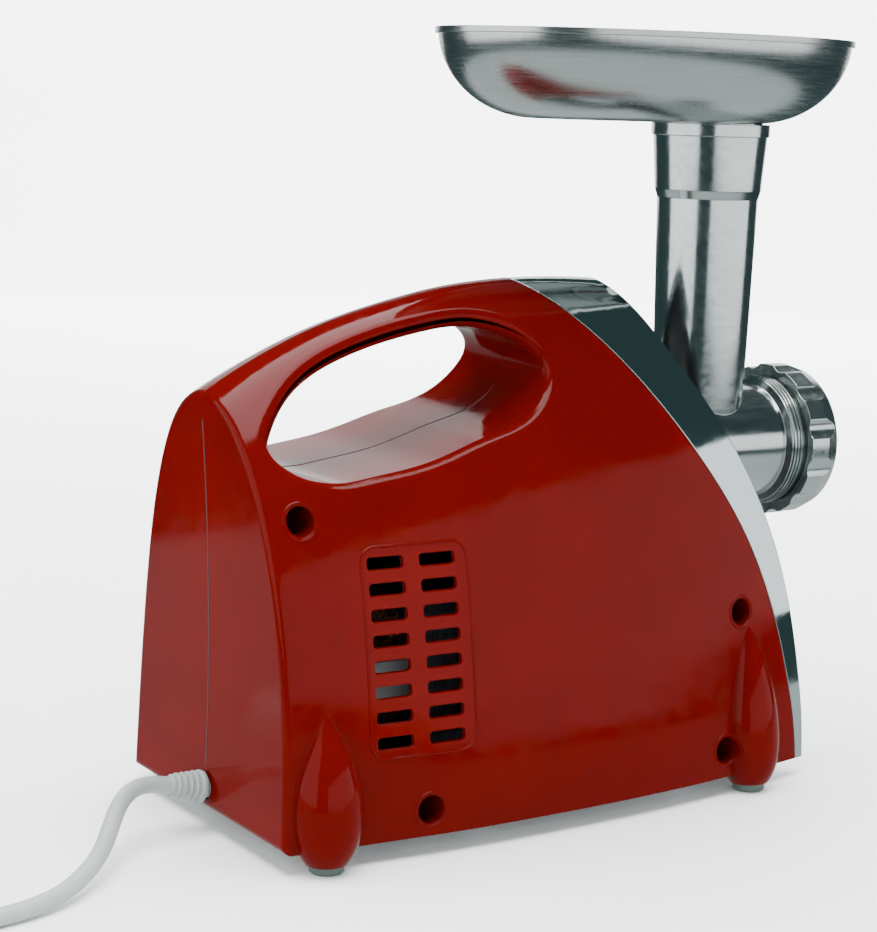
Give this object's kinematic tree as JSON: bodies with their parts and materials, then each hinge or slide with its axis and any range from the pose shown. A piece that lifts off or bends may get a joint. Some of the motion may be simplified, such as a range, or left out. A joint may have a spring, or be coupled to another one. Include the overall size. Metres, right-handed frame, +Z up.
{
  "type": "electric meat grinder",
  "caption": "Countertop electric meat grinder with a red arched casing and handle, chrome front trim, alloy grinding head, oval steel tray and mains lead.",
  "frame": {"origin": "centre of the object on the surface it stands on, leaving out the free lead", "axes": "+Z up, the outlet faces -Y, the lead leaves at +Y, the barrel axis runs along Y"},
  "size_m": [0.2247, 0.5411, 0.3422],
  "materials": {
    "casing_red": "gloss",
    "trim_chrome": "polished",
    "dark_plastic": "satin",
    "black_gloss": "gloss",
    "foot_rubber": "matte",
    "cast_alloy": "polished",
    "drive_alloy": "as cast",
    "tray_steel": "satin",
    "tool_steel": "ground",
    "screw_steel": "zinc plated",
    "core_steel": "laminated",
    "copper": "enamelled",
    "bearing_bronze": "plain",
    "nylon": "plain",
    "cord_grey": "satin"
  },
  "bodies": {
    "base": {"housing_right": "casing_red", "housing_left": "casing_red", "front_bezel": "trim_chrome", "front_panel": "dark_plastic", "base_plate": "dark_plastic", "base_screws": "screw_steel", "rubber_feet": "foot_rubber", "housing_screws": "screw_steel", "head_socket": "dark_plastic", "socket_screws": "screw_steel", "lock_spring": "tool_steel", "gearbox_housing": "drive_alloy", "gearbox_cover": "drive_alloy", "gearbox_screws": "screw_steel", "output_bearing": "tool_steel", "output_bush": "bearing_bronze", "idler_bushes": "bearing_bronze", "motor_front_bearing": "tool_steel", "motor_rear_bearing": "tool_steel", "stator_core": "core_steel", "field_windings": "copper", "end_bracket": "drive_alloy", "brush_holders": "bearing_bronze", "carbon_brushes": "dark_plastic", "motor_bolts": "screw_steel", "switch_bezel": "black_gloss", "power_switch": "dark_plastic", "strain_relief": "cord_grey", "power_cord": "cord_grey", "cord_coil": "cord_grey", "cord_tie": "cord_grey", "cord_tail": "cord_grey", "plug_body": "cord_grey", "plug_pins": "trim_chrome"},
    "armature": {"motor_pinion": "tool_steel", "motor_shaft": "tool_steel", "armature_core": "core_steel", "armature_windings": "copper", "commutator": "copper", "cooling_fan": "nylon"},
    "idler": {"first_gear": "nylon", "second_pinion": "tool_steel", "idler_shaft": "tool_steel"},
    "output": {"output_gear": "tool_steel", "output_shaft": "tool_steel", "feed_screw": "tool_steel", "screw_washer": "nylon", "cutting_blade": "tool_steel"},
    "head": {"grinder_head": "cast_alloy"},
    "tray": {"food_tray": "tray_steel"},
    "plate": {"cutting_plate": "tool_steel"},
    "nut": {"ring_nut": "cast_alloy"},
    "rocker": {"power_rocker": "black_gloss"},
    "lock": {"lock_button": "dark_plastic"}
  },
  "joints": [
    {"name": "motor_spin", "type": "hinge", "parent": "base", "child": "armature", "pos_m": [0, 0.06, 0.0668], "axis": [0, 1, 0], "continuous": true},
    {"name": "idler_spin", "type": "hinge", "parent": "base", "child": "idler", "pos_m": [0, 0, 0.1046], "axis": [0, 1, 0], "continuous": true},
    {"name": "output_spin", "type": "hinge", "parent": "base", "child": "output", "pos_m": [0, -0.02, 0.1514], "axis": [0, 1, 0], "continuous": true},
    {"name": "head_turn", "type": "hinge", "parent": "base", "child": "head", "pos_m": [0, -0.08, 0.1514], "axis": [0, -1, 0], "range_deg": [0, 45]},
    {"name": "tray_lift", "type": "slide", "parent": "head", "child": "tray", "axis": [0, 0, 1], "range_m": [0, 0.04]},
    {"name": "plate_slide", "type": "slide", "parent": "head", "child": "plate", "axis": [0, -1, 0], "range_m": [0, 0.008]},
    {"name": "nut_turn", "type": "hinge", "parent": "plate", "child": "nut", "pos_m": [0, -0.145, 0.1514], "axis": [0, -1, 0], "range_deg": [0, 720]},
    {"name": "rocker_tilt", "type": "hinge", "parent": "base", "child": "rocker", "pos_m": [0.06207, 0.022, 0.09545], "axis": [0, 1, 0], "range_deg": [-12, 12]},
    {"name": "lock_press", "type": "slide", "parent": "base", "child": "lock", "axis": [0, 1, 0], "range_m": [0, 0.0035], "stiffness_N_per_m": 200}
  ],
  "couplings": [
    {"joint": "idler_spin", "follows": "motor_spin", "ratio": -0.16667},
    {"joint": "output_spin", "follows": "motor_spin", "ratio": 0.033333},
    {"joint": "plate_slide", "follows": "nut_turn", "m_per_rad": 0.00063662}
  ]
}
